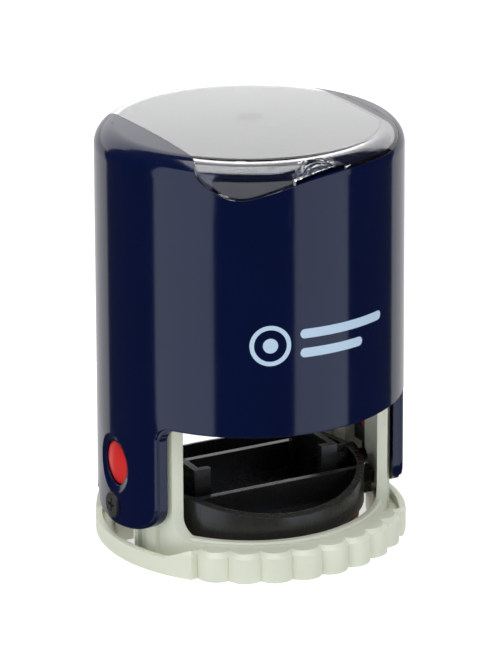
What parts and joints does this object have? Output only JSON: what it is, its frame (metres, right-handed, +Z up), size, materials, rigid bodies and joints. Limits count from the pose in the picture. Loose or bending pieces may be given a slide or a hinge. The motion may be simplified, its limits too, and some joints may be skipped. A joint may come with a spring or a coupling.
{
  "type": "self inking stamp",
  "caption": "Round self-inking hand stamp: sprung housing slides over a ring-footed frame and half-turns a die carrier between ink pad and paper.",
  "frame": {"origin": "centre of the base ring, on the surface that the stamp stands on", "axes": "+Z up along the stroke, +X along the axle of the die carrier, -Y towards the front with the low end of the index window at its left"},
  "size_m": [0.0572, 0.057, 0.0781],
  "materials": {
    "frame_plastic": "satin moulded, pale grey-green",
    "housing_plastic": "high gloss, navy",
    "clear_plastic": "clear polished plastic",
    "black_plastic": "satin moulded, black",
    "red_plastic": "semi-gloss, red",
    "card": "coated card, light grey",
    "pad_felt": "inked felt",
    "foam": "adhesive foam",
    "die_rubber": "engraved rubber",
    "spring_steel": "drawn spring wire"
  },
  "bodies": {
    "frame": {"base_frame": "frame_plastic", "frame_crown": "frame_plastic", "ink_pad_tray": "black_plastic", "ink_pad": "pad_felt"},
    "spring_end": {"return_spring": "spring_steel"},
    "housing": {"housing": "housing_plastic", "index_window": "clear_plastic", "index_card": "card", "spring_plunger": "black_plastic", "left_axle_pin": "black_plastic", "right_axle_pin": "black_plastic"},
    "carrier": {"die_carrier": "black_plastic", "die_foam": "foam", "rubber_die": "die_rubber"},
    "left_button": {"left_lock_button": "red_plastic", "left_button_keeper": "black_plastic"},
    "right_button": {"right_lock_button": "red_plastic", "right_button_keeper": "black_plastic"}
  },
  "joints": [
    {"name": "end_travel", "type": "slide", "parent": "frame", "child": "spring_end", "axis": [0, 0, 1], "range_m": [-0.0015, 0.005], "deforming": ["return_spring"]},
    {"name": "turning_stroke", "type": "slide", "parent": "spring_end", "child": "housing", "axis": [0, 0, 1], "range_m": [0, 0.03], "deforming": ["return_spring"]},
    {"name": "carrier_turn", "type": "hinge", "parent": "housing", "child": "carrier", "pos_m": [0, 0, 0.0091], "axis": [1, 0, 0], "range_deg": [0, 180]},
    {"name": "left_button_slide", "type": "slide", "parent": "housing", "child": "left_button", "axis": [-1, 0, 0], "range_m": [0, 0.0012]},
    {"name": "right_button_slide", "type": "slide", "parent": "housing", "child": "right_button", "axis": [1, 0, 0], "range_m": [0, 0.0012]}
  ],
  "couplings": [
    {"joint": "carrier_turn", "follows": "turning_stroke", "rad_per_m": 104.72}
  ]
}
